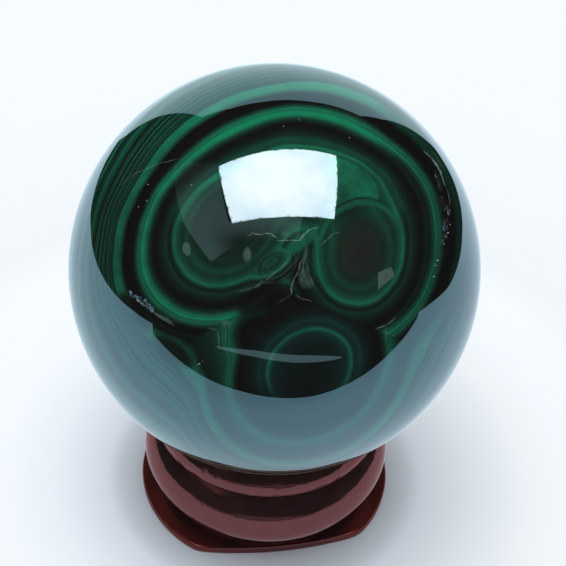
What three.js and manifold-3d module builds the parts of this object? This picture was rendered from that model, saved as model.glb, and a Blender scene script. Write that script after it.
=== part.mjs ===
// A polished malachite ball, 50 mm across, resting in the ring of a small turned wooden stand.
// Millimetres, +Z up. The origin is the middle of the stand's underside, so z = 0 is the table.
// The front is towards -Y, where the stand's round base plate has its one flat.
import * as THREE from "three";
import { mergeVertices } from "three/addons/utils/BufferGeometryUtils.js";
import Module from "manifold-3d";

// Ball
const ballRadius = 25;
const seatGap = 0.1; // clearance between the ball and the bead it rests on
const sides = 60; // facets round the ball and round the stand
const ballRings = 30;

// Base plate: a turned disc with one slightly bowed flat, where the blank was too short
const plateRadius = 16.3;
const plateHeight = 1.1;
const plateRound = 0.35; // rounding of the rim
const flatReach = 13.5; // middle of the flat, from the axis
const flatBow = 51; // radius of the flat's bow
const cornerSharpness = 60; // larger turns more crisply from the round to the flat
const outlineSteps = 80;

// Turned mouldings above the plate; a reach is measured from the axis, a height from the table
const footReach = 13;
const neckReach = 12.6;
const rollRadius = 5.1;
const rollReach = 15.9;
const rollHeight = 6.9;
const beadRadius = 2.4;
const beadReach = 14.85;
const beadHeight = 13.4;
const cupDepth = 4; // from the seat down to the floor of the cup
const cupFloorReach = 4;

// The ball touches the bead all round, which settles how high its middle sits.
const rollCentre = rollReach - rollRadius;
const beadCentre = beadReach - beadRadius;
const ballHeight = beadHeight + Math.sqrt((ballRadius + seatGap + beadRadius) ** 2 - beadCentre ** 2);
const seatAngle = Math.atan2(ballHeight - beadHeight, -beadCentre);
const seatReach = beadCentre + beadRadius * Math.cos(seatAngle);
const cupFloor = beadHeight + beadRadius * Math.sin(seatAngle) - cupDepth;

const wasm = await Module();
wasm.setup();

// A closed three.js geometry as a solid that can be joined to another.
function solidOf(geometry) {
  const bare = geometry.clone();
  bare.deleteAttribute("normal");
  bare.deleteAttribute("uv");
  const merged = mergeVertices(bare, 1e-4);
  const vertProperties = new Float32Array(merged.attributes.position.array);
  const triVerts = new Uint32Array(merged.index.array);
  return new wasm.Manifold(new wasm.Mesh({ numProp: 3, vertProperties, triVerts }));
}

function geometryOf(solid) {
  const mesh = solid.getMesh();
  const geometry = new THREE.BufferGeometry();
  geometry.setAttribute("position", new THREE.BufferAttribute(mesh.vertProperties, 3));
  geometry.setIndex(new THREE.BufferAttribute(mesh.triVerts, 1));
  geometry.computeVertexNormals();
  return geometry;
}

function at(reach, height) {
  return new THREE.Vector2(reach, height);
}

// Points along an arc of a moulding, angles in radians, both ends included.
function arc(reach, height, radius, from, to, steps) {
  return Array.from({ length: steps + 1 }, (_, i) => {
    const angle = from + ((to - from) * i) / steps;
    return at(reach + radius * Math.cos(angle), height + radius * Math.sin(angle));
  });
}

// Points along a curve that leaves one point, is pulled towards a second and ends at a third.
function sweep(start, pull, end, steps) {
  return new THREE.QuadraticBezierCurve(start, pull, end).getPoints(steps);
}

// Half section of everything turned above the plate: foot, fat roll, groove, bead and cup.
// The groove is where the roll's arc and the bead's arc cross. It starts and ends on the axis.
function mouldings() {
  const apart = Math.hypot(beadCentre - rollCentre, beadHeight - rollHeight);
  const lean = Math.atan2(beadHeight - rollHeight, beadCentre - rollCentre);
  const along = (rollRadius ** 2 - beadRadius ** 2 + apart ** 2) / (2 * apart);
  const rollTop = lean - Math.acos(along / rollRadius);
  const beadFoot = lean - Math.PI + Math.acos((apart - along) / beadRadius);
  const rollFoot = -Math.acos((neckReach - rollCentre) / rollRadius);
  const roll = arc(rollCentre, rollHeight, rollRadius, rollFoot, rollTop, 16);
  const bead = arc(beadCentre, beadHeight, beadRadius, beadFoot, seatAngle, 12);
  const foot = sweep(at(footReach, plateHeight), at(neckReach, plateHeight + 0.1), roll[0], 3);
  const cup = sweep(bead.at(-1), at(seatReach * 0.6, cupFloor), at(cupFloorReach, cupFloor), 4);
  const insidePlate = plateHeight / 2;
  return [
    at(0, insidePlate),
    at(footReach, insidePlate),
    ...foot,
    ...roll.slice(1),
    ...bead.slice(1),
    ...cup.slice(1),
    at(0, cupFloor),
  ];
}

// Distance from the axis to the base plate's outline, in a direction turned from the front.
function plateOutline(turn) {
  const bowCentre = flatReach - flatBow;
  const flat = bowCentre * Math.cos(turn) + Math.sqrt(flatBow ** 2 - (bowCentre * Math.sin(turn)) ** 2);
  return (flat ** -cornerSharpness + plateRadius ** -cornerSharpness) ** (-1 / cornerSharpness);
}

function basePlate() {
  const outline = Array.from({ length: outlineSteps }, (_, i) => {
    const turn = (2 * Math.PI * i) / outlineSteps;
    const reach = plateOutline(turn);
    return at(reach * Math.sin(turn), -reach * Math.cos(turn));
  });
  return new THREE.ExtrudeGeometry(new THREE.Shape(outline), {
    depth: plateHeight - 2 * plateRound,
    bevelThickness: plateRound,
    bevelSize: plateRound,
    bevelOffset: -plateRound,
    bevelSegments: 3,
  }).translate(0, 0, plateRound);
}

function woodenStand() {
  const turned = new THREE.LatheGeometry(mouldings(), sides).rotateX(Math.PI / 2);
  const stand = solidOf(basePlate()).add(solidOf(turned));
  const lacquer = new THREE.MeshStandardMaterial({ color: 0x3a1713, roughness: 0.25, metalness: 0 });
  const mesh = new THREE.Mesh(geometryOf(stand), lacquer);
  mesh.name = "wooden_stand";
  return mesh;
}

function malachiteBall() {
  const shape = new THREE.SphereGeometry(ballRadius, sides, ballRings).rotateX(Math.PI / 2);
  const malachite = new THREE.MeshStandardMaterial({ color: 0x0b4a2c, roughness: 0.05, metalness: 0 });
  const mesh = new THREE.Mesh(shape, malachite);
  mesh.name = "malachite_ball";
  mesh.position.z = ballHeight;
  return mesh;
}

const ornament = new THREE.Group();
ornament.name = "ball_on_stand";
ornament.add(woodenStand(), malachiteBall());

export default ornament;
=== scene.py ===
# A polished malachite ball on its small turned and lacquered wooden stand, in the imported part's frame.
# Metres in the scene. The stone's banding is laid out in millimetres from the ball's middle.
import math
import random
from types import SimpleNamespace

import bmesh
import bpy
from mathutils import Matrix, Vector, noise


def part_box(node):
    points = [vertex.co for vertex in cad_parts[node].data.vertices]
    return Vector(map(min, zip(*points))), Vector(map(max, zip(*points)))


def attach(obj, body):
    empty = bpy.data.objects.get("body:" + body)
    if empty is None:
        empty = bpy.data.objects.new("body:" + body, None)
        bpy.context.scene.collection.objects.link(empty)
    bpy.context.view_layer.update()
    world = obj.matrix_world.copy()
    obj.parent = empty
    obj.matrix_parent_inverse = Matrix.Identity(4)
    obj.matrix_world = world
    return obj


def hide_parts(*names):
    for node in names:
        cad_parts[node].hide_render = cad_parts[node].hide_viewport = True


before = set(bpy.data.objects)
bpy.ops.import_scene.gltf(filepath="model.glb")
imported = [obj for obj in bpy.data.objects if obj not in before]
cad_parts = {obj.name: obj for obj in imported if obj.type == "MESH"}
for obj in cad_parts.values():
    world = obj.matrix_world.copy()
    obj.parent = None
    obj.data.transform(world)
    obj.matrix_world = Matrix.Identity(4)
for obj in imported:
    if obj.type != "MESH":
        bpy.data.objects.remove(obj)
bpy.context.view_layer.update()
mm = 0.001
degree = math.pi / 180
endless = 1e4  # mm, so long that a place's depth doesn't count

ballLow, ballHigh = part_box("malachite_ball")
ballMiddle = (ballLow + ballHigh) / 2
ballRadius = (ballHigh.z - ballLow.z) / 2

# Where the camera looks from, in metres and degrees. The stone's eyes face the same way.
camera = {
    "distance": 0.25,
    "elevation": 44,
    "azimuth": -10.9,
    "roll": 3.2,
    "lens": 130.7,
    "sensor": 36,
    "clip": (0.01, 6),
    "aimRight": 1.01 * mm,
    "aimDown": 1.70 * mm,
}


def facing(azimuth, elevation, roll):  # columns: right, up and backwards of a view from that side
    side, rise = azimuth * degree, elevation * degree
    back = Vector((math.sin(side) * math.cos(rise), -math.cos(side) * math.cos(rise), math.sin(rise)))
    right = Vector((math.cos(side), math.sin(side), 0))
    level = Matrix((right, back.cross(right), back)).transposed()
    return level @ Matrix.Rotation(roll * degree, 3, "Z")


viewTurn = facing(camera["azimuth"], camera["elevation"], camera["roll"])
toStone = viewTurn.transposed()


def makeCamera():
    aim = ballMiddle + viewTurn @ Vector((camera["aimRight"], -camera["aimDown"], 0))
    data = bpy.data.cameras.new("camera")
    data.lens = camera["lens"]
    data.sensor_width = camera["sensor"]
    data.clip_start, data.clip_end = camera["clip"]
    holder = bpy.data.objects.new("camera", data)
    bpy.context.scene.collection.objects.link(holder)
    place = aim + viewTurn @ Vector((0, 0, camera["distance"]))
    holder.matrix_world = Matrix.Translation(place) @ viewTurn.to_4x4()
    bpy.context.scene.camera = holder


class Wire:  # a socket that can be reckoned with
    def __init__(self, sheet, socket):
        self.sheet = sheet
        self.socket = socket

    def calc(self, operation, *others):
        return self.sheet.node("ShaderNodeMath", {"operation": operation}, [self, *others])

    def __add__(self, other):
        return self.calc("ADD", other)

    def __radd__(self, other):
        return self.calc("ADD", other)

    def __sub__(self, other):
        return self.calc("SUBTRACT", other)

    def __rsub__(self, other):
        return self.sheet.node("ShaderNodeMath", {"operation": "SUBTRACT"}, [other, self])

    def __mul__(self, other):
        return self.calc("MULTIPLY", other)

    def __rmul__(self, other):
        return self.calc("MULTIPLY", other)

    def __truediv__(self, other):
        return self.calc("DIVIDE", other)

    def __rtruediv__(self, other):
        return self.sheet.node("ShaderNodeMath", {"operation": "DIVIDE"}, [other, self])

    def least(self, other):
        return self.calc("MINIMUM", other)

    def most(self, other):
        return self.calc("MAXIMUM", other)

    def ease(self, start, end):  # 0 before start, 1 past end, smooth between them
        settings = {"interpolation_type": "SMOOTHSTEP", "clamp": False}
        return self.sheet.node("ShaderNodeMapRange", settings, {0: self, 1: start, 2: end, 3: 0.0, 4: 1.0})


class Sheet:  # the nodes of a material or of the world
    def __init__(self, holder):
        self.holder = holder
        holder.use_nodes = True
        self.tree = holder.node_tree
        self.tree.nodes.clear()

    def node(self, kind, settings=None, values=(), out=0):
        made = self.tree.nodes.new(kind)
        for name, value in (settings or {}).items():
            if name == "stops":
                self.setStops(made.color_ramp, value)
            else:
                setattr(made, name, value)
        for key, value in values.items() if isinstance(values, dict) else enumerate(values):
            if isinstance(value, Wire):
                self.tree.links.new(value.socket, made.inputs[key])
            else:
                made.inputs[key].default_value = value
        return Wire(self, made.outputs[out])

    def setStops(self, ramp, stops):
        while len(ramp.elements) > 1:
            ramp.elements.remove(ramp.elements[-1])
        for i, (place, value) in enumerate(stops):
            stop = ramp.elements[0] if i == 0 else ramp.elements.new(place)
            stop.position = place
            stop.color = (*value, 1) if isinstance(value, tuple) else (value, value, value, 1)

    def place(self):
        return self.node("ShaderNodeTexCoord", out="Object")

    def mapped(self, vector, kind="POINT", location=(0, 0, 0), rotation=(0, 0, 0), scale=(1, 1, 1)):
        values = {0: vector, 1: location, 2: rotation, 3: scale}
        return self.node("ShaderNodeMapping", {"vector_type": kind}, values)

    def parts(self, vector, count=3):  # its x, y and z
        return [self.node("ShaderNodeSeparateXYZ", values=[vector], out=i) for i in range(count)]

    def vector(self, operation, *others, out=0):
        return self.node("ShaderNodeVectorMath", {"operation": operation}, others, out)

    def scaled(self, vector, factor):
        return self.node("ShaderNodeVectorMath", {"operation": "SCALE"}, {0: vector, "Scale": factor})

    def noise(self, vector, scale, detail, roughness, out=0):
        values = {"Vector": vector, "Scale": scale, "Detail": detail, "Roughness": roughness}
        return self.node("ShaderNodeTexNoise", {"noise_dimensions": "3D"}, values, out)

    def noiseAlong(self, value, scale, detail, roughness):
        values = {"W": value, "Scale": scale, "Detail": detail, "Roughness": roughness}
        return self.node("ShaderNodeTexNoise", {"noise_dimensions": "1D"}, values)

    def nudged(self, vector, amount, *settings):  # moved about by a noise, by up to half the amount
        drift = self.vector("SUBTRACT", self.noise(vector, *settings, out=1), (0.5, 0.5, 0.5))
        return self.vector("ADD", vector, self.scaled(drift, amount))

    def ramp(self, value, stops):
        return self.node("ShaderNodeValToRGB", {"stops": stops}, [value])

    def mix(self, share, first, second, how="MIX"):
        settings = {"data_type": "RGBA", "blend_type": how}
        return self.node("ShaderNodeMix", settings, {0: share, 6: first, 7: second}, out=2)

    def finish(self, shader, kind="ShaderNodeOutputMaterial"):
        last = self.tree.nodes.new(kind)
        self.tree.links.new(shader.socket, last.inputs["Surface"])
        return self.holder


def newSheet(name):
    return Sheet(bpy.data.materials.new(name))


def newObject(name, bm, material, smooth=True):
    mesh = bpy.data.meshes.new(name)
    bm.to_mesh(mesh)
    bm.free()
    for face in mesh.polygons:
        face.use_smooth = smooth
    mesh.materials.append(material)
    made = bpy.data.objects.new(name, mesh)
    bpy.context.scene.collection.objects.link(made)
    return made


# The stone. The reach grows outwards from each eye: 1 on its pale inner ring, 1.6 on the broad bright band.
# Places are in mm across the view that the eyes face, and sizes are half sizes.
stone = {
    "eyes": {
        "left": {"at": (-4.6, 4.7), "size": (5.9, 7.8), "lean": -42, "growth": 1.16},
        "right": {"at": (9.6, 1.7), "size": (5.1, 6.1), "lean": -16, "growth": 0.87},
        "crown": {"at": (6.1, 8.6), "size": (6.5, 4.5), "lean": -14, "growth": 0.91},
        "brow": {"at": (1.6, 8.9), "size": (6.5, 4.9), "lean": 14, "growth": 0.77},
        "bridge": {"at": (-0.4, 0.5), "size": (2.7, 1.35), "lean": 27, "growth": 0.40},
        "lower": {"at": (3.9, -11.3), "size": (6.2, 5.2), "lean": 41, "growth": 1.03},
    },
    # pale green runs between the eyes: two ends in mm, half width and strength
    "stem": [
        (0.5, 0.8, 5.8, 5.3, 1.15, 1.3), (4.9, 4.6, 4.6, -1.8, 0.85, 0.9), (7.3, 12.0, 7.6, 7.2, 0.7, 0.8),
    ],
    # dark places where the bands stop short
    "hollow": [
        (-4.0, -4.9, 0.9, -1.8, 1.35, 1.9), (-17.4, -2.8, -14.0, -7.0, 1.25, 1.6),
        (-13.4, -7.6, -9.0, -11.0, 1.2, 1.6),
    ],
    "knot": {"at": (0.3, 0.1), "size": (2.5, 1.7), "lean": 24, "growth": 1.0},
    "shoulder": {"at": (-1.4, -7.7), "start": 1.14, "slope": 0.11},
    "saddle": {"at": (1.0, -4.4), "start": 1.22, "slope": 0.10},
    # eyes that only come up on the far side, and how fast the front ones close towards it
    "farEyes": [
        {"at": (-8.5, 7.0), "size": (5.2, 6.0), "lean": 20, "growth": 0.95},
        {"at": (6.0, 9.5), "size": (3.4, 2.6), "lean": -30, "growth": 0.55},
        {"at": (1.5, -7.5), "size": (7.5, 5.0), "lean": -15, "growth": 1.05},
        {"at": (11.5, 0.5), "size": (3.0, 4.6), "lean": 10, "growth": 0.80},
    ],
    "farStart": -5,
    "farRise": 0.32,
    "closeStart": -4,
    "closeRise": 0.10,
    # how far two fields lie apart where they start to run into one another
    "joins": {"side": 0.4, "right": 0.9, "top": 0.4, "bridge": 0.15, "lower": 0.1, "far": 0.3},
    # how far places are moved about in front and on the far side, in mm
    "wander": (0.35, 1.6),
    # how bright the bands are against the reach: the stops of three ramps
    "innerBands": [
        (0.00, 0.10), (0.24, 0.12), (0.32, 0.24), (0.39, 0.18), (0.47, 0.28), (0.56, 0.22), (0.64, 0.34),
        (0.70, 0.46), (0.76, 0.34), (0.80, 0.30), (0.86, 0.44), (0.92, 0.62), (0.955, 0.76), (0.985, 0.48),
        (1.02, 0.20), (1.045, 0.12), (1.07, 0.16), (1.105, 0.34), (1.15, 0.22), (1.24, 0.06), (1.35, 0.00),
        (1.42, 0.18), (1.46, 0.42), (1.51, 0.72), (1.575, 1.00), (1.60, 0.74), (1.625, 0.64), (1.65, 0.74),
        (1.69, 0.44), (1.725, 0.20), (1.76, 0.01), (2.00, 0.00),
    ],
    "lowerBands": [
        (0.00, 0.05), (0.40, 0.10), (0.62, 0.18), (0.72, 0.28), (0.77, 0.50), (0.805, 0.70), (0.84, 0.42),
        (0.87, 0.26), (0.92, 0.26), (0.98, 0.34), (1.03, 0.24), (1.10, 0.12), (1.25, 0.04), (1.38, 0.00),
        (1.45, 0.16), (1.51, 0.44), (1.55, 0.66), (1.58, 0.48), (1.61, 0.64), (1.65, 0.42), (1.70, 0.34),
        (1.76, 0.24), (1.84, 0.16), (1.92, 0.12), (1.96, 0.05), (2.00, 0.00),
    ],
    "outerBands": [
        (1.90, 0.00), (1.94, 0.10), (1.98, 0.34), (2.03, 0.56), (2.09, 0.66), (2.17, 0.58), (2.20, 0.20),
        (2.235, 0.44), (2.25, 0.34), (2.265, 0.12), (2.285, 0.54), (2.30, 0.48), (2.32, 0.16), (2.34, 0.44),
        (2.36, 0.22), (2.385, 0.52), (2.41, 0.34), (2.43, 0.16), (2.46, 0.50), (2.49, 0.38), (2.515, 0.14),
        (2.55, 0.46), (2.59, 0.34), (2.63, 0.16), (2.70, 0.54), (2.80, 0.20), (3.00, 0.60), (3.08, 0.18),
        (3.20, 0.50), (3.30, 0.20),
    ],
    # how much the single features show in the bands
    "strengths": {
        "ring": 0.62, "stem": 0.66, "ledge": 0.40, "rim": 0.34, "crest": 0.16, "broad": 0.56, "hollow": 0.85,
        "bluer": 0.6, "knot": 0.17, "fibres": 0.45, "cracksAndRimHighlight": 0.52, "specks": 0.8, "pits": 0.7, "flecks": 0.5,
    },
    # scale, detail and roughness of each noise
    "noises": {
        "bend": (0.13, 2.0, 0.5),
        "clouds": (0.35, 4.0, 0.6),
        "stripes": (9.0, 4.0, 0.75),
        "broad": (4.6, 1.0, 0.5),
        "threads": (46.0, 2.0, 0.6),
        "discRings": (17.0, 1.0, 0.5),
        "crinkle": (0.9, 3.0, 0.6),
        "grain": (2.2, 3.0, 0.6),
        "flecks": (3.2, 3.0, 0.65),
    },
    "knotRings": 22,  # how close the knot's fine rings stand
    "crinkle": 0.5,  # twice how far the flaws stray, in mm
    "tones": [
        (0.00, (0.0066, 0.0060, 0.0056)),
        (0.25, (0.0080, 0.0225, 0.0165)),
        (0.50, (0.0095, 0.0560, 0.0350)),
        (0.75, (0.0110, 0.1080, 0.0580)),
        (1.00, (0.0085, 0.1950, 0.0880)),
    ],
    "colours": {
        "bluer": (1.0, 0.92, 1.22, 1),
        "disc": (0.0215, 0.0200, 0.0160, 1),
        "knot": (0.055, 0.085, 0.066, 1),
        "fibres": (0.090, 0.160, 0.140, 1),
        # the facet colour is a painted reflection, a pale patch on the right of the front
        "reflectionPatch": (0.100, 0.145, 0.115, 1),
        # the cracks colour also paints the highlight along the seam on the right rim
        "cracksAndRimHighlight": (0.28, 0.38, 0.35, 1),
        "specks": (0.36, 0.46, 0.46, 1),
        "pits": (0.014, 0.016, 0.020, 1),
        "flecks": (0.20, 0.24, 0.27, 1),
    },
    "roughness": 0.02,
    "ior": 2.15,
    "tint": (0.50, 0.88, 1.0, 1),
}

# Flaws under the polish of the front, and painted light among them. Cracks and fibres: two ends in mm, half
# width and strength; the last five cracks paint a highlight along a seam on the right rim.
# Specks: place and half width. The pale patch of painted reflection: its corners.
marks = {
    "cracksAndRimHighlight": [
        (-3, 3.3, -2.2, 3.8, 0.061, 0.45), (-2.4, 3.8, -1, 3.6, 0.084, 0.85),
        (-1.1, 3.7, -0.2, 3.65, 0.076, 0.9), (-0.4, 3.75, 0.4, 3.2, 0.084, 0.9),
        (0.3, 2.9, 1.8, 3, 0.053, 0.8), (1.6, 3, 3.3, 3.1, 0.061, 0.9), (2.8, 3.1, 3.6, 3.8, 0.084, 1),
        (3.3, 3.6, 4.3, 4.35, 0.099, 1), (4.1, 4.25, 4.9, 4.5, 0.076, 0.9),
        (5.2, 2.4, 6, 3.2, 0.068, 0.45), (5.8, 3, 6.6, 3.8, 0.076, 0.55),
        (6.5, 3.7, 7.4, 3.9, 0.061, 0.4), (3, 0.8, 2.7, -0.4, 0.084, 0.6),
        (2.8, -0.2, 2.1, -1.3, 0.084, 0.55), (2.2, -1.1, 1.9, -2.2, 0.091, 0.65),
        (1.9, -1.9, 1.9, -3, 0.106, 0.7), (2.3, -3, 3.2, -3.4, 0.068, 0.4),
        (3, -3.3, 4.3, -3.8, 0.076, 0.35), (1.9, -2.9, 1.4, -3.3, 0.061, 0.25),
        (1.5, -3.2, 0.4, -3.8, 0.061, 0.22), (3.1, 1.2, 3.3, 0, 0.084, 0.35),
        (3.3, 0.2, 3.2, -0.9, 0.084, 0.3), (3.5, 0.8, 3.9, -0.8, 0.091, 0.3),
        (3.8, -0.6, 4.4, -2.1, 0.091, 0.3), (-17.6, 9.4, -16.3, 10.6, 0.053, 0.35),
        (-16.5, 10.4, -14.6, 11.3, 0.053, 0.45), (-15, 11.1, -12.9, 11.9, 0.061, 0.55),
        (-13.3, 11.75, -10.5, 12.3, 0.053, 0.4), (-7.5, -6.6, -6.2, -6.9, 0.076, 0.35),
        (-6.15, -6.8, -6.1, -9.2, 0.084, 0.35), (-5.9, -6, -4.8, -6.1, 0.061, 0.3),
        (-5.3, -6.6, -5.4, -8.6, 0.061, 0.35), (11.2, -6.85, 12.6, -6.35, 0.076, 0.55),
        (12.3, -6.5, 13.8, -5.5, 0.076, 0.5), (12.4, -6.5, 12.65, -8.2, 0.076, 0.4),
        # these five run along a seam on the right rim and paint its bright edge highlight
        (17.3, 13.7, 18.5, 12.6, 0.122, 0.6), (18.2, 13, 19.2, 11.5, 0.16, 1),
        (18.9, 11.9, 19.6, 10.4, 0.16, 1), (19.3, 11, 19.9, 9.4, 0.122, 0.8),
        (20, 9.4, 20.4, 7.2, 0.099, 0.4),
    ],
    "fibres": [
        (-4.0, -2.7, -2.1, -2.2, 0.15, 0.8), (-2.3, -2.3, -1.0, -1.45, 0.15, 0.8),
        (-1.2, -1.6, 0.9, 0.0, 0.15, 0.9), (0.6, -0.25, 1.7, 0.8, 0.13, 0.8),
        (-2.93, 2.3, -2.9, 0.6, 0.55, 1.5), (-9.75, 2.9, -9.55, 1.3, 0.48, 3.2),
        (1.0, 3.8, 1.5, 3.4, 0.45, 0.7), (3.2, 0.2, 3.3, -2.4, 0.65, 0.7),
        (3.4, -1.0, 4.0, -2.3, 0.55, 0.7), (3.6, 2.3, 3.3, 0.3, 0.26, 0.8),
        (-13.6, -4.9, -11.1, -6.3, 0.24, 1.5), (-5.9, -6.3, -4.6, -6.1, 0.5, 0.5),
        (18.4, 13.9, 20.1, 11.2, 0.2, 0.5),
    ],
    "specks": [
        (-14.2, 9.5, 0.06), (-14.3, 7.6, 0.05), (-15.2, 6.9, 0.05), (-8.3, -10.7, 0.09),
        (-8.0, -10.4, 0.05), (-8.6, -10.9, 0.05), (19.9, 4.0, 0.11), (19.4, 2.7, 0.07), (18.6, 0.9, 0.08),
        (18.1, -1.0, 0.07), (-9.2, 9.2, 0.06), (1.0, 15.9, 0.05), (2.9, 16.7, 0.05), (8.5, 14.7, 0.05),
        (20.1, 6.2, 0.07), (18.4, 0.3, 0.05), (20.2, 5.0, 0.06),
    ],
    "reflectionPatch": [(11.57, -0.55), (13.06, 0.11), (13.47, -0.89), (11.57, -2.44)],
}


def stonePlace(sheet):  # mm from the ball's middle: x right, y up and z towards the side that the eyes face
    return sheet.mapped(
        sheet.place(),
        location=toStone @ ballMiddle * -1 / mm,
        rotation=toStone.to_euler(),
        scale=(1 / mm,) * 3,
    )


def eyeField(sheet, where, eye):
    local = sheet.mapped(
        where,
        "TEXTURE",
        location=(*eye["at"], 0),
        rotation=(0, 0, eye["lean"] * degree),
        scale=(*eye["size"], endless),
    )
    return (sheet.vector("LENGTH", local, out=1) - 1) * eye["growth"] + 1


def coneField(sheet, where, cone):
    local = sheet.mapped(where, "TEXTURE", (*cone["at"], 0), scale=(1, 1, endless))
    return sheet.vector("LENGTH", local, out=1) * cone["slope"] + cone["start"]


def joined(first, second, distance):
    return first.calc("SMOOTH_MIN", second, distance)


def bandRamp(sheet, reach, stops):
    low, high = stops[0][0], stops[-1][0]
    places = [((at - low) / (high - low), tone) for at, tone in stops]
    return sheet.ramp((reach - low) / (high - low), places)


def streakRow(x1, y1, x2, y2, wide, strength):  # what turns a place into lengths along and aside of a streak
    half = max(math.hypot(x2 - x1, y2 - y1) / 2, wide) * 1.1
    lean = math.atan2(y2 - y1, x2 - x1)
    x, y = (x1 + x2) / 2, (y1 + y2) / 2
    right, up = math.cos(lean), math.sin(lean)
    along = (right / half, up / half, -(x * right + y * up) / half)
    aside = (-up / wide, right / wide, (x * up - y * right) / wide)
    return (*along, *aside, strength)


def streaks(sheet, where, rows):  # the strongest of the thin pointed streaks, worked out three at a time
    across, up = (sheet.node("ShaderNodeCombineXYZ", values=[part] * 3) for part in sheet.parts(where, 2))
    best = (0, 0, 0)
    for i in range(0, len(rows), 3):
        three = [streakRow(*row) for row in rows[i:i + 3]]
        three += [(0,) * 7] * (3 - len(three))
        alongX, alongY, alongStart, asideX, asideY, asideStart, strength = zip(*three)
        along = sheet.vector("MULTIPLY_ADD", across, alongX, alongStart)
        along = sheet.vector("MULTIPLY_ADD", up, alongY, along)
        aside = sheet.vector("MULTIPLY_ADD", across, asideX, asideStart)
        aside = sheet.vector("MULTIPLY_ADD", up, asideY, aside)
        spread = sheet.vector("MULTIPLY_ADD", aside, aside, sheet.vector("MULTIPLY", along, along))
        mark = sheet.vector("MULTIPLY_ADD", spread, tuple(-value for value in strength), strength)
        best = sheet.vector("MAXIMUM", best, mark)
    first, second, third = sheet.parts(best)
    return first.most(second).most(third)


def insideShape(across, up, corners, soft):  # 1 inside a convex outline, corners taken clockwise
    share = None
    for (x1, y1), (x2, y2) in zip(corners, corners[1:] + corners[:1]):
        long = math.hypot(x2 - x1, y2 - y1)
        side = across * ((y2 - y1) / long) - up * ((x2 - x1) / long)
        edge = (side - (x1 * (y2 - y1) - y1 * (x2 - x1)) / long).ease(-soft, soft)
        share = edge if share is None else share * edge
    return share


# How far out of the eyes a place is, and whether the lower eye's bands show there.
def bandReach(sheet, bent, eye, depth):
    join = stone["joins"]
    side = joined(eye["left"], eye["brow"], join["side"])
    top = joined(side, joined(eye["crown"], eye["right"], join["right"]), join["top"])
    upper = joined(top, eye["bridge"] + (eye["bridge"] - 1.15).most(0) * 4, join["bridge"])
    lower = joined(eye["lower"], coneField(sheet, bent, stone["shoulder"]), join["lower"])
    lower = joined(lower, coneField(sheet, bent, stone["saddle"]), join["lower"])
    # close in, the upper and the lower bands meet in a sharp edge, and further out they run together
    front = joined(upper, lower, ((upper.least(lower) - 1.7) * 1.5).most(0.03).least(2.0))
    isLower = (upper - lower).ease(-0.02, 0.02)
    reach = front + (stone["closeStart"] - depth).most(0) * stone["closeRise"]
    rise = (depth - stone["farStart"]).most(0) * stone["farRise"]
    for values in stone["farEyes"]:
        reach = joined(reach, eyeField(sheet, bent, values) + rise, join["far"])
    return reach, isLower


def stoneFields(sheet):  # the values over the stone that its bands and flaws are drawn from
    field = SimpleNamespace(where=stonePlace(sheet))
    field.across, field.height, field.depth = sheet.parts(field.where)
    near, far = stone["wander"]
    wander = near + field.depth.ease(2.0, -14.0) * (far - near)
    field.bent = sheet.nudged(field.where, wander * 2, *stone["noises"]["bend"])
    field.eye = {name: eyeField(sheet, field.bent, eye) for name, eye in stone["eyes"].items()}
    field.reach, field.isLower = bandReach(sheet, field.bent, field.eye, field.depth)
    field.isFront = field.depth.ease(-1.0, 2.0)
    field.onRight = field.across.ease(10, 15) * field.height.ease(-9, -4) * field.isFront
    field.clouds = sheet.noise(field.bent, *stone["noises"]["clouds"])
    return field


def innerTone(sheet, field):  # how pale the stone is out to the broad bright band
    eye, reach, across, height = field.eye, field.reach, field.across, field.height
    strength = stone["strengths"]
    inner = bandRamp(sheet, reach, stone["innerBands"])
    below = bandRamp(sheet, reach, stone["lowerBands"])
    below = below * (1 - height.ease(-12.0, -15.0) * reach.ease(1.3, 1.2) * 0.65)
    tone = inner + (below - inner) * field.isLower
    # the right eye's ring runs on under the crown, which is filled with mid green beside it
    ring = eye["right"].ease(0.80, 0.93) * eye["right"].ease(1.03, 0.96) * field.isFront
    fill = eye["crown"].ease(1.0, 0.82) * eye["right"].ease(0.98, 1.04)
    fill = fill * across.ease(3.5, 6.5) * field.isFront
    tone = tone.most(ring * strength["ring"]).most(fill * (field.clouds * 0.8 + 0.30))
    stem = streaks(sheet, field.bent, stone["stem"]).least(1) * field.isFront
    tone = tone.most(stem * strength["stem"])
    # the bands over the top are paler than elsewhere, and those on the right are duller
    ledge = reach.ease(0.98, 1.02) * reach.ease(1.18, 1.08) * height.ease(2, 8)
    rim = reach.ease(0.74, 0.84) * reach.ease(0.95, 0.90) * height.ease(3, 9) * across.ease(4, -3)
    crest = reach.ease(1.92, 2.0) * reach.ease(2.22, 2.16) * height.ease(14, 19)
    tone = tone.most(ledge * field.isFront * strength["ledge"])
    tone = tone + (rim * strength["rim"] + crest * strength["crest"]) * field.isFront
    tone = tone - reach.ease(1.40, 1.48) * reach.ease(1.60, 1.54) * field.onRight * 0.35
    return tone * (1 - reach.ease(1.38, 1.46) * field.onRight * 0.2)


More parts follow.
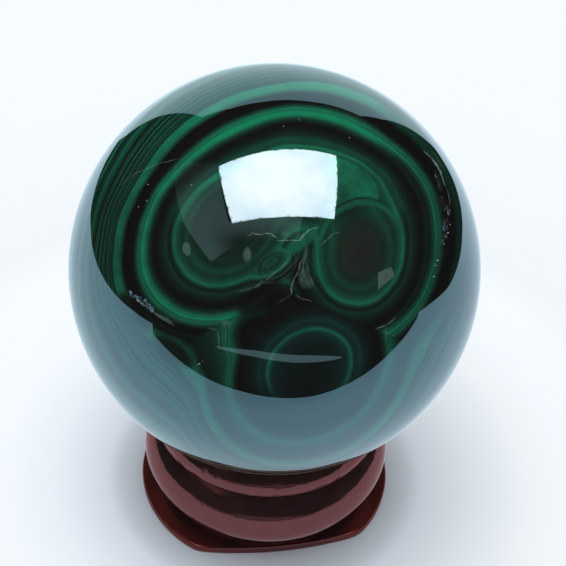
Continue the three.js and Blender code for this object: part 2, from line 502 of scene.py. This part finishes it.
def outerTone(sheet, field, tone):  # adds the veins, stripes and broad bands further out
    reach, height, strength, noises = field.reach, field.height, stone["strengths"], stone["noises"]
    outer = bandRamp(sheet, reach, stone["outerBands"])
    veins = (outer * 1.3 - 0.14).most(0) * (1 - field.onRight * 0.6)
    stripes = (sheet.noiseAlong(reach, *noises["stripes"]) - 0.36) * 2.6
    beyond = reach.ease(2.62, 2.9)
    tone = tone + veins * (1 - beyond) + stripes.most(0.03) * beyond
    broad = sheet.noiseAlong(reach, *noises["broad"]).ease(0.45, 0.62) * reach.ease(1.8, 2.0)
    broad = broad * reach.ease(3.4, 3.0) * height.ease(-1, -7) * field.isFront
    tone = tone.most(broad * strength["broad"])
    hollow = streaks(sheet, field.bent, stone["hollow"]).least(1) * field.isFront
    tone = tone * (1 - hollow * strength["hollow"])
    threads = sheet.noiseAlong(reach, *noises["threads"])
    crisp = reach.ease(1.9, 2.3) * (0.35 + height.ease(-9, -2) * 0.95)
    tone = tone * (1 + (threads - 0.5) * (0.45 + crisp))
    # painted light: the height term makes the tone paler towards the top of the ball
    return tone * (0.60 + field.clouds * 0.62 + height.ease(6.0, 17.0) * 0.28)


def bandColour(sheet, field, tone):
    strength, noises, colours = stone["strengths"], stone["noises"], stone["colours"]
    colour = sheet.ramp(tone, stone["tones"])
    bluer = field.isLower * field.reach.ease(1.3, 1.1) * field.isFront * strength["bluer"]
    colour = sheet.mix(bluer, colour, colours["bluer"], "MULTIPLY")
    # the brownish middle of the right eye
    right = field.eye["right"]
    rings = sheet.noiseAlong(right, *noises["discRings"]).ease(0.3, 0.7)
    disc = right.ease(0.84, 0.25) * field.isFront * (0.20 + rings * 0.35 + field.clouds * 0.5)
    colour = sheet.mix(disc, colour, colours["disc"])
    # fine rings between the left and the right eye
    knot = eyeField(sheet, field.bent, stone["knot"])
    rings = (knot * stone["knotRings"]).calc("SINE").ease(0.2, 0.95) * field.isFront
    rings = rings * knot.ease(1.06, 1.0) * knot.ease(0.25, 0.4)
    return sheet.mix(rings * strength["knot"], colour, colours["knot"])


def flawed(sheet, field, colour):  # the colour with the flaws over it, and where the cracks are
    strength, noises, colours = stone["strengths"], stone["noises"], stone["colours"]
    crinkled = sheet.nudged(field.where, stone["crinkle"], *noises["crinkle"])
    grain = sheet.noise(field.where, *noises["grain"])
    fibres = streaks(sheet, crinkled, marks["fibres"]) * field.isFront * (0.5 + grain)
    colour = sheet.mix(fibres.least(1) * strength["fibres"], colour, colours["fibres"])
    # a pale patch of painted reflection on the right of the front
    reflectionPatch = insideShape(field.across, field.height, marks["reflectionPatch"], 0.06) * field.isFront
    colour = sheet.mix(reflectionPatch * (0.25 + grain * 0.55), colour, colours["reflectionPatch"])
    # the cracks, and a painted highlight along the seam on the right rim
    cracksAndRimHighlight = streaks(sheet, crinkled, marks["cracksAndRimHighlight"]) * field.isFront
    colour = sheet.mix((cracksAndRimHighlight * strength["cracksAndRimHighlight"]).least(1), colour, colours["cracksAndRimHighlight"])
    dots = [(x, y, x, y, size * 1.3, 1.0) for x, y, size in marks["specks"]]
    specks = streaks(sheet, crinkled, dots) * field.isFront
    colour = sheet.mix(specks.least(1) * strength["specks"], colour, colours["specks"])
    return colour, cracksAndRimHighlight


def malachite():
    sheet = newSheet("malachite")
    strength, noises, colours = stone["strengths"], stone["noises"], stone["colours"]
    field = stoneFields(sheet)
    tone = outerTone(sheet, field, innerTone(sheet, field))
    colour, cracksAndRimHighlight = flawed(sheet, field, bandColour(sheet, field, tone))
    pitted = sheet.node("ShaderNodeAttribute", {"attribute_name": "pitted"}, out="Fac")
    flecks = sheet.noise(field.where, *noises["flecks"]).ease(0.58, 0.72)
    colour = sheet.mix(pitted * strength["pits"], colour, colours["pits"])
    colour = sheet.mix(pitted * flecks * strength["flecks"], colour, colours["flecks"])
    shader = sheet.node("ShaderNodeBsdfPrincipled", values={
        "Base Color": colour,
        "Roughness": stone["roughness"] + (pitted * 0.16 + cracksAndRimHighlight * 0.08),
        "IOR": stone["ior"],
        "Specular Tint": stone["tint"],
    })
    return sheet.finish(shader)


# The ball's surface, in mm. The pits are where the polish breaks up: two ends, half width and depth.
ball = {
    "radius": ballRadius / mm - 0.01,
    "subdivisions": 7,
    "pitSubdivisions": 3,
    "pits": [
        (18.8, 10.9, 19.2, 9.3, 0.26, 0.06), (19.3, 8.0, 19.6, 6.8, 0.24, 0.07),
        (20.0, 7.2, 20.2, 6.3, 0.16, 0.06), (19.7, 5.4, 19.7, 4.5, 0.24, 0.10),
        (19.6, 3.7, 19.4, 3.1, 0.20, 0.10), (18.6, 0.7, 18.4, 0.1, 0.13, 0.07),
        (-16.3, -3.0, -15.2, -3.5, 0.20, 0.09), (-15.2, -3.5, -14.4, -4.1, 0.26, 0.15),
        (-14.4, -4.1, -13.6, -4.8, 0.22, 0.14),
    ],
    "plainReach": 9,  # there are no pits nearer to the middle than this
    "pitSpan": 2.25,  # nor any that reach further than this from their own middle
}


def pitShare(spot, wide=1.0):  # 0 outside every pit, up to 1 in the middle of one, and that one's depth
    best, deepest = 0, 0
    x, y, z = spot
    if z < 0 or math.hypot(x, y) < ball["plainReach"]:
        return best, deepest
    span = ball["pitSpan"] * 2
    for x1, y1, x2, y2, half, depth in ball["pits"]:
        if abs(2 * x - x1 - x2) > span or abs(2 * y - y1 - y2) > span:
            continue
        dx, dy = x2 - x1, y2 - y1
        t = min(1, max(0, ((x - x1) * dx + (y - y1) * dy) / (dx * dx + dy * dy)))
        away = math.hypot(x - x1 - dx * t, y - y1 - dy * t) / (half * wide)
        if away < 1 and 1 - away * away > best:
            best, deepest = 1 - away * away, depth
    return best, deepest


def dented(direction):  # a point of the surface in mm, for a direction out of the middle in the eyes' frame
    spot = direction * ball["radius"]
    share, depth = pitShare(spot)
    if spot.z < 0 or not share:
        return spot
    rough = 0.55 + noise.noise(spot * 1.5) * 0.7 + noise.noise(spot * 4.0) * 0.45
    return spot - direction * (depth * min(1, share * 1.8) * min(1.3, max(0, rough)))


def dentedNormal(direction):  # from four points about 0.03 mm away
    side = direction.orthogonal().normalized() * 0.0012
    other = direction.cross(side)
    ends = [dented((direction + step).normalized()) for step in (side, -side, other, -other)]
    return (ends[0] - ends[1]).cross(ends[2] - ends[3]).normalized()


def makeBall():
    bm = bmesh.new()
    bmesh.ops.create_icosphere(bm, subdivisions=ball["subdivisions"], radius=1)
    radius = ballRadius / mm
    for level in range(ball["pitSubdivisions"]):  # a finer mesh in and close round the pits
        close = set()
        for vert in bm.verts:
            spot = toStone @ vert.co.normalized() * radius
            if spot.z > 0 and pitShare(spot, 1.5 - level * 0.2)[0]:
                close.add(vert)
        edges = [edge for edge in bm.edges if edge.verts[0] in close and edge.verts[1] in close]
        bmesh.ops.subdivide_edges(bm, edges=edges, cuts=1, use_grid_fill=True)
        bmesh.ops.triangulate(bm, faces=[face for face in bm.faces if len(face.verts) > 3])
    normals, shares = [], []
    bm.verts.index_update()
    for vert in bm.verts:
        direction = toStone @ vert.co.normalized()
        share = pitShare(direction * radius, 1.15)[0] if direction.z > 0 else 0
        shares.append(min(1, share * 2))
        normals.append(viewTurn @ (dentedNormal(direction) if share else direction))
        vert.co = ballMiddle + viewTurn @ (dented(direction) * mm)
    made = newObject("ball", bm, malachite())
    made.data.attributes.new("pitted", "FLOAT", "POINT").data.foreach_set("value", shares)
    made.data.normals_split_custom_set_from_vertices(normals)
    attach(made, "root")
    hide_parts("malachite_ball")


# The stand, in mm: a reach is measured from the axis, a height from the table.
stand = {
    "plateRadius": 16.3,
    "plateHeight": 1.1,
    "plateRound": 0.3,
    "flatReach": 13.5,
    "flatBow": 51,
    "cornerSharpness": 60,
    "footReach": 13,
    "neckReach": 12.6,
    "rollRadius": 5.1,
    "rollReach": 15.9,
    "rollHeight": 6.9,
    "beadRadius": 2.4,
    "beadReach": 14.85,
    "beadHeight": 13.4,
    "cupDepth": 4,
    "cupFloorReach": 4,
    "sides": 256,
    # wear on the roll and the bead, and nicks on the bead
    "wear": 0.012,
    "wearHeight": 2.2,
    "wearReach": 10.5,
    "nicks": 90,
    "nickHeights": (12.6, 12.8, 13.0, 13.2, 14.4),
    "nickSize": (0.4, 0.9),
    "nickDepth": (0.03, 0.11),
    "seed": 11,
    "steps": {"roll": 44, "bead": 30, "underEdge": 4, "overEdge": 5, "foot": 5, "cup": 8},
}


def arc(reach, height, radius, start, end, steps):
    angles = [start + (end - start) * i / steps for i in range(steps + 1)]
    return [(reach + radius * math.cos(a), height + radius * math.sin(a)) for a in angles]


def sweep(start, pull, stop, steps):  # a curve in the profile, drawn towards a point between its ends
    points = []
    for i in range(steps + 1):
        t = i / steps
        shares = (1 - t) ** 2, 2 * t * (1 - t), t * t
        ends = list(zip(shares, (start, pull, stop)))
        points.append(tuple(sum(share * end[k] for share, end in ends) for k in (0, 1)))
    return points


def standProfile():
    s, steps = stand, stand["steps"]
    rollCentre = s["rollReach"] - s["rollRadius"]
    beadCentre = s["beadReach"] - s["beadRadius"]
    apart = math.hypot(beadCentre - rollCentre, s["beadHeight"] - s["rollHeight"])
    lean = math.atan2(s["beadHeight"] - s["rollHeight"], beadCentre - rollCentre)
    along = (s["rollRadius"] ** 2 - s["beadRadius"] ** 2 + apart ** 2) / (2 * apart)
    rollTop = lean - math.acos(along / s["rollRadius"])
    beadFoot = lean - math.pi + math.acos((apart - along) / s["beadRadius"])
    rollFoot = -math.acos((s["neckReach"] - rollCentre) / s["rollRadius"])
    seatAngle = math.atan2(ballMiddle.z / mm - s["beadHeight"], -beadCentre)
    seatReach = beadCentre + s["beadRadius"] * math.cos(seatAngle)
    cupFloor = s["beadHeight"] + s["beadRadius"] * math.sin(seatAngle) - s["cupDepth"]
    roll = arc(rollCentre, s["rollHeight"], s["rollRadius"], rollFoot, rollTop, steps["roll"])
    bead = arc(beadCentre, s["beadHeight"], s["beadRadius"], beadFoot, seatAngle, steps["bead"])
    rim, top, rounding = s["plateRadius"], s["plateHeight"], s["plateRound"]
    under = [(0, 0), (6, 0), (s["footReach"], 0)]
    edge = arc(rim - rounding, rounding, rounding, -math.pi / 2, 0, steps["underEdge"])
    edge += arc(rim - rounding, top - rounding, rounding, 0, math.pi / 2, steps["overEdge"])
    # the plate's top sinks a little inside its rounded edge, and sweeps up to the roll
    plate = [(rim - 0.6, top - 0.05), (rim - 1.2, top - 0.06), (s["footReach"] + 1, top - 0.06)]
    foot = sweep((s["footReach"] + 0.3, top - 0.04), (s["neckReach"], top), roll[0], steps["foot"])
    cup = sweep(bead[-1], (seatReach * 0.6, cupFloor), (s["cupFloorReach"], cupFloor), steps["cup"])
    return [*under, *edge, *plate, *foot, *roll[1:], *bead[1:], *cup[1:], (0, cupFloor)]


def plateOutline(turn):  # the plate's reach at an angle from its flat, which is slightly bowed
    s = stand
    bowCentre = s["flatReach"] - s["flatBow"]
    flat = bowCentre * math.cos(turn) + math.sqrt(s["flatBow"] ** 2 - (bowCentre * math.sin(turn)) ** 2)
    sharp = s["cornerSharpness"]
    return (flat ** -sharp + s["plateRadius"] ** -sharp) ** (-1 / sharp)


# The finish: two tones each for the turned wood and the plate, the plate's darker tone being painted shade
# under the roll, the colour of the gloss, and noises as above.
lacquer = {
    "deep": ((0.0160, 0.0088, 0.0098, 1), (0.0340, 0.0160, 0.0160, 1)),
    "plate": ((0.0190, 0.0095, 0.0110, 1), (0.0600, 0.0135, 0.0105, 1)),
    "dust": (0.20, 0.17, 0.16, 1),
    "sheen": (0.82, 0.265, 0.255, 1),
    "roughness": 0.09,
    "ior": 2.2,
    "bump": 0.05 * mm,
    "marks": (0.10, 0.10, 2.2),  # how the tool marks are stretched around the axis
    "noises": {
        "marks": (1.0, 3.0, 0.6),
        "shade": (0.28, 4.0, 0.6),
        "dust": (2.6, 2.0, 0.5),
        "ragged": (1.5, 3.0, 0.65),
    },
}


def lacqueredWood():
    sheet = newSheet("lacquered wood")
    noises = lacquer["noises"]
    where = sheet.mapped(sheet.place(), scale=(1 / mm,) * 3)
    up = sheet.node("ShaderNodeSeparateXYZ", values=[where], out=2)
    turned = sheet.noise(sheet.mapped(where, scale=lacquer["marks"]), *noises["marks"])
    shade = sheet.noise(where, *noises["shade"]).ease(0.35, 0.7)
    deep = sheet.mix(shade * 0.6 + turned * 0.4, *lacquer["deep"])
    reach = sheet.vector("LENGTH", sheet.mapped(where, scale=(1, 1, 0)), out=1)
    # painted shade: the plate is darker under the roll and redder out towards its rim
    redderOutOfShade = (reach.ease(13.6, 16.0) * 0.9 + shade * 0.3).least(1)
    colour = sheet.mix(up.ease(2.2, 1.0), deep, sheet.mix(redderOutOfShade, *lacquer["plate"]))
    dusty = sheet.noise(where, *noises["dust"]).ease(0.775, 0.80)
    colour = sheet.mix(dusty * 0.5, colour, lacquer["dust"])
    ragged = sheet.noise(where, *noises["ragged"])
    bump = sheet.node("ShaderNodeBump", values={
        "Strength": 1.0,
        "Distance": lacquer["bump"],
        "Height": turned * 0.30 + ragged * (0.36 + up.ease(10.6, 11.6) * 0.3),
    })
    wood = sheet.node("ShaderNodeBsdfPrincipled", values={
        "Base Color": colour,
        "Roughness": lacquer["roughness"],
        "Specular IOR Level": 0.0,
        "Normal": bump,
    })
    coat = sheet.node("ShaderNodeBsdfPrincipled", values={
        "Base Color": lacquer["sheen"],
        "Roughness": lacquer["roughness"],
        "Metallic": 1.0,
        "Normal": bump,
    })
    gloss = sheet.node("ShaderNodeFresnel", values={"IOR": lacquer["ior"], "Normal": bump})
    # painted shade: less of the pink gloss on the plate's edge, standing in for the shadowed cloth that it
    # mirrors
    gloss = gloss * (1 - up.ease(1.0, 0.8) * 0.55)  # the plate's edge is duller
    return sheet.finish(sheet.node("ShaderNodeMixShader", values=[gloss, wood, coat]))


def beadNicks():  # place, size and depth of each nick in the bead
    chance = random.Random(stand["seed"])
    nicks = []
    for i in range(stand["nicks"]):
        turn, height = chance.uniform(0, 2 * math.pi), chance.choice(stand["nickHeights"])
        bulge = math.sqrt(stand["beadRadius"] ** 2 - (height - stand["beadHeight"]) ** 2)
        reach = stand["beadReach"] - stand["beadRadius"] + bulge
        place = Vector((reach * math.cos(turn), reach * math.sin(turn), height))
        nicks.append((place, chance.uniform(*stand["nickSize"]), chance.uniform(*stand["nickDepth"])))
    return nicks


def standWear(nicks, spot):  # how far inwards the turned wood is worn at a spot, in mm
    around = Vector((spot.x * 0.35, spot.y * 0.35, spot.z * 1.4))
    worn = stand["wear"] * (1 + noise.noise(around))
    for place, size, depth in nicks:
        away = (spot - place).length / size
        if away < 1:
            worn += depth * (1 - away * away) ** 2
    return worn


def cutFlat(bm):  # draws the round plate in to its outline with the flat
    foot, rim, top = stand["footReach"] * mm, stand["plateRadius"] * mm, stand["plateHeight"] * mm
    for vert in bm.verts:
        reach = math.hypot(vert.co.x, vert.co.y)
        if reach > foot and vert.co.z < top + 0.001 * mm:
            outline = plateOutline(math.atan2(vert.co.x, -vert.co.y)) * mm
            moved = foot + (reach - foot) * (outline - foot) / (rim - foot)
            vert.co.x *= moved / reach
            vert.co.y *= moved / reach


def makeStand():
    bm = bmesh.new()
    points = [bm.verts.new((reach * mm, 0, height * mm)) for reach, height in standProfile()]
    edges = [bm.edges.new(pair) for pair in zip(points, points[1:])]
    bmesh.ops.spin(bm, geom=points + edges, cent=(0, 0, 0), axis=(0, 0, 1), angle=2 * math.pi,
                   steps=stand["sides"], use_merge=True, use_duplicate=False)
    bmesh.ops.remove_doubles(bm, verts=bm.verts, dist=0.001 * mm)
    bmesh.ops.recalc_face_normals(bm, faces=bm.faces)
    cutFlat(bm)
    bm.normal_update()
    nicks = beadNicks()
    for vert in bm.verts:
        spot = vert.co / mm
        if spot.z > stand["wearHeight"] and spot.xy.length > stand["wearReach"]:
            vert.co -= vert.normal * (standWear(nicks, spot) * mm)
    made = newObject("stand", bm, lacqueredWood())
    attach(made, "root")
    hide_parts("wooden_stand")


# What lights the ball and what it mirrors. Distances in mm from the axis, seen along the camera's heading:
# x to the right and y away from the camera.
studio = {
    "heading": camera["azimuth"] * degree,
    "cloth": [
        (-251, -148), (-168, -108), (-103, -107), (-19, -102), (32, -90), (138, -83), (245, -60),
        (291, -60), (240, -13), (174, 30), (139, 89), (93, 117), (88, 150), (-96, 150), (-76, 120),
        (-110, 101), (-144, 74), (-177, 14), (-224, -72),
    ],
    "backdrop": [
        (-97, 0), (-98, 80), (-100, 146), (-63, 159), (-27, 157), (24, 145), (80, 123), (88, 87), (89, 0),
    ],
    "backdropReach": 150,
    "windowHeight": 300,
    "window": [(-165, 70), (-135, -126), (170, -85), (145, 130)],
    "windowSpread": (150, 110),
    "windowTones": ((0.70, 0.53, 0.55, 1), (1.05, 0.67, 0.61, 1)),
    "windowStrength": 12.5,
    "wall": [
        (-170, 82), (-382, 196), (-351, -97), (-275, -290), (-150, -215), (70, -190), (70, -101),
        (-145, -121),
    ],
    "bowl": {
        "middle": (-175, -190),
        "reach": 330,
        "half": 17,
        "sweep": (-104, -6),
        "steps": 24,
        "heights": [6, 13, 18, 13, 8, 6, 4],
        "colour": (0.96, 0.98, 0.96, 1),
        "strength": 0.58,
    },
    # colours of what is mirrored
    "clothColour": (0.87, 1.04, 1.19),
    "backdropColour": (0.80, 0.98, 1.04),
    "wallColour": (1.02, 0.97, 0.90),
    # tones against the distance from the axis, as shares of a reach: painted shade round the stand in the
    # mirrored cloth and on the floor
    "clothReach": 200,
    "clothPaintedShade": [
        (0.0, 0.14), (0.045, 0.20), (0.06, 0.42), (0.08, 0.68), (0.105, 0.86), (0.13, 0.95), (0.17, 1.0),
        (1.0, 1.0),
    ],
    "floorSize": 6000,
    "floorReach": 55,
    # painted shade on the floor: darkest round the stand, and a little darker far out
    "floorPaintedShade": [
        (0.0, (0.34, 0.34, 0.37)), (0.236, (0.42, 0.43, 0.47)), (0.273, (0.51, 0.54, 0.60)),
        (0.309, (0.56, 0.61, 0.67)), (0.345, (0.63, 0.69, 0.75)), (0.382, (0.80, 0.85, 0.93)),
        (0.436, (0.83, 0.88, 0.94)), (0.509, (0.87, 0.93, 0.98)), (0.636, (0.916, 0.945, 0.97)),
        (0.873, (0.872, 0.90, 0.925)), (1.0, (0.815, 0.84, 0.863)),
    ],
    "lamp": {"place": (-60, 30, 700), "size": 600, "power": 1.2, "colour": (0.97, 0.99, 1.0)},
    # the world as the camera sees it, as it lights what is matt, and as the polish mirrors it
    "world": [(0.91, 0.955, 0.985, 1), (0.97, 0.985, 1.0, 1), (0.002, 0.002, 0.002, 1)],
}


def standing(x, y, z):
    turn = Matrix.Rotation(studio["heading"], 3, "Z")
    return turn @ Vector((x * mm, y * mm, z * mm))


def mirroredOnly(thing):
    thing.visible_camera = False
    thing.visible_diffuse = False
    thing.visible_transmission = False
    thing.visible_volume_scatter = False
    thing.visible_shadow = False


def panel(name, corners, material):
    bm = bmesh.new()
    bm.faces.new([bm.verts.new(standing(*corner)) for corner in corners])
    bmesh.ops.triangulate(bm, faces=bm.faces)
    mirroredOnly(newObject(name, bm, material, smooth=False))


def studioPlace(sheet):  # mm from the axis in the studio's own heading
    return sheet.mapped(sheet.place(), rotation=(0, 0, -studio["heading"]), scale=(1 / mm,) * 3)


def glowing(sheet, colour, strength=1.0):
    return sheet.finish(sheet.node("ShaderNodeEmission", values={"Color": colour, "Strength": strength}))


def windowGlow():
    sheet = newSheet("mirrored window")
    where = studioPlace(sheet)
    cloud = sheet.noise(where, 0.012, 3.0, 0.55).ease(0.3, 0.6)
    wide, deep = studio["windowSpread"]
    middle = sheet.vector("LENGTH", sheet.mapped(where, scale=(1 / wide, 1 / deep, 0)), out=1).ease(1.15, 0.3)
    colour = sheet.mix((cloud * 0.4 + middle * 0.8).least(1), *studio["windowTones"])
    wobble = (sheet.noise(where, 0.05, 3.0, 0.6) - 0.5) * 22
    across, away = sheet.parts(where, 2)
    share = insideShape(across + wobble, away + wobble, studio["window"][::-1], 4.0)
    return glowing(sheet, colour, share * studio["windowStrength"])


def clothGlow():
    sheet = newSheet("mirrored cloth")
    where = studioPlace(sheet)
    away = sheet.node("ShaderNodeSeparateXYZ", values=[where], out=1)
    # painted shade: the mirrored cloth glows darker round the stand, a little darker in front and brighter
    # further back
    near = sheet.ramp(sheet.vector("LENGTH", where, out=1) / studio["clothReach"], studio["clothPaintedShade"])
    near = near * (1 - away.ease(-62, -92) * 0.17) * (1 + away.ease(30, 110) * 0.25)
    return glowing(sheet, sheet.scaled(studio["clothColour"], near))


def backdropGlow():
    sheet = newSheet("mirrored backdrop")
    up = sheet.node("ShaderNodeSeparateXYZ", values=[studioPlace(sheet)], out=2)
    return glowing(sheet, sheet.scaled(studio["backdropColour"], 1.08 - up.ease(20, 150) * 0.30))


def wallGlow():
    sheet = newSheet("mirrored wall")
    across, away = sheet.parts(studioPlace(sheet), 2)
    share = (0.06 + away.ease(120, -110) * 0.27) * (1 - across.ease(-250, -110) * away.ease(-118, -200))
    return glowing(sheet, sheet.scaled(studio["wallColour"], share))


def makeFloor():
    sheet = newSheet("floor")
    flat = sheet.mapped(sheet.place(), scale=(1 / mm, 1 / mm, 0))
    reach = sheet.vector("LENGTH", flat, out=1) / studio["floorReach"]
    across = sheet.node("ShaderNodeSeparateXYZ", values=[flat])
    # painted shade: a little darker at the right than at the left, near the stand
    paintedSideShade = 1 + (0.5 - across.ease(-28, 28)) * reach.ease(0.75, 0.45) * 0.12
    colour = sheet.scaled(sheet.ramp(reach, studio["floorPaintedShade"]), paintedSideShade)
    material = sheet.finish(sheet.node("ShaderNodeBsdfDiffuse", values={"Color": colour}))
    bm = bmesh.new()
    bmesh.ops.create_grid(bm, x_segments=1, y_segments=1, size=studio["floorSize"] * mm / 2)
    floor = newObject("floor", bm, material, smooth=False)
    floor.visible_glossy = False


def makePanels():
    high, back = studio["windowHeight"] + ballMiddle.z / mm, studio["backdropReach"]
    panel("mirroredWindow", [(x, y, high) for x, y in studio["window"]], windowGlow())
    panel("mirroredWall", [(x, y, high) for x, y in studio["wall"]], wallGlow())
    panel("mirroredCloth", [(x, y, 0) for x, y in studio["cloth"]], clothGlow())
    panel("mirroredBackdrop", [(x, back, z) for x, z in studio["backdrop"]], backdropGlow())


def makeBowl():  # a curved strip that narrows to its ends and rises and falls along its heights
    bowl = studio["bowl"]
    heights, reach, half = bowl["heights"], bowl["reach"] * mm, bowl["half"] * mm
    start, end = (angle * degree for angle in bowl["sweep"])
    bm = bmesh.new()
    first = Vector((reach * math.cos(start), reach * math.sin(start), 0))
    ends = [bm.verts.new(first + Vector((0, 0, side * half))) for side in (-1, 1)]
    edge = bm.edges.new(ends)
    bmesh.ops.spin(bm, geom=[*ends, edge], cent=(0, 0, 0), axis=(0, 0, 1), angle=end - start,
                   steps=bowl["steps"])
    for vert in bm.verts:
        along = (math.atan2(vert.co.y, vert.co.x) - start) / (end - start)
        vert.co.z *= max(0.02, math.sin(math.pi * along)) ** 0.6
        step = max(0, min(along, 0.999)) * (len(heights) - 1)
        i = int(step)
        vert.co.z += (heights[i] + (heights[i + 1] - heights[i]) * (step - i)) * mm
    x, y = bowl["middle"]
    bmesh.ops.translate(bm, verts=bm.verts, vec=(x * mm, y * mm, 0))
    bmesh.ops.rotate(bm, verts=bm.verts, cent=(0, 0, 0), matrix=Matrix.Rotation(studio["heading"], 3, "Z"))
    material = glowing(newSheet("mirrored bowl"), bowl["colour"], bowl["strength"])
    mirroredOnly(newObject("mirroredBowl", bm, material, smooth=False))


def makeLamp():
    lamp = studio["lamp"]
    data = bpy.data.lights.new("overhead", "AREA")
    data.shape = "SQUARE"
    data.size = lamp["size"] * mm
    data.energy = lamp["power"]
    data.color = lamp["colour"]
    holder = bpy.data.objects.new("overhead", data)
    bpy.context.scene.collection.objects.link(holder)
    place = standing(*lamp["place"])
    holder.location = place
    holder.rotation_euler = (ballMiddle - place).to_track_quat("-Z", "Y").to_euler()
    holder.visible_glossy = False
    holder.visible_camera = False


def makeWorld():
    world = bpy.data.worlds.new("world")
    bpy.context.scene.world = world
    sheet = Sheet(world)
    seen, lighting, mirrored = (
        sheet.node("ShaderNodeBackground", values={"Color": colour}) for colour in studio["world"]
    )
    isMirrored = sheet.node("ShaderNodeLightPath", out="Is Glossy Ray")
    isSeen = sheet.node("ShaderNodeLightPath", out="Is Camera Ray")
    unseen = sheet.node("ShaderNodeMixShader", values=[isMirrored, lighting, mirrored])
    sheet.finish(sheet.node("ShaderNodeMixShader", values=[isSeen, unseen, seen]), "ShaderNodeOutputWorld")
    bpy.context.scene.view_settings.view_transform = "Standard"


makeCamera()
print("camera placed")
makeBall()
print("ball made")
makeStand()
print("stand made")
makeFloor()
makePanels()
makeBowl()
makeLamp()
makeWorld()
print("stage set")
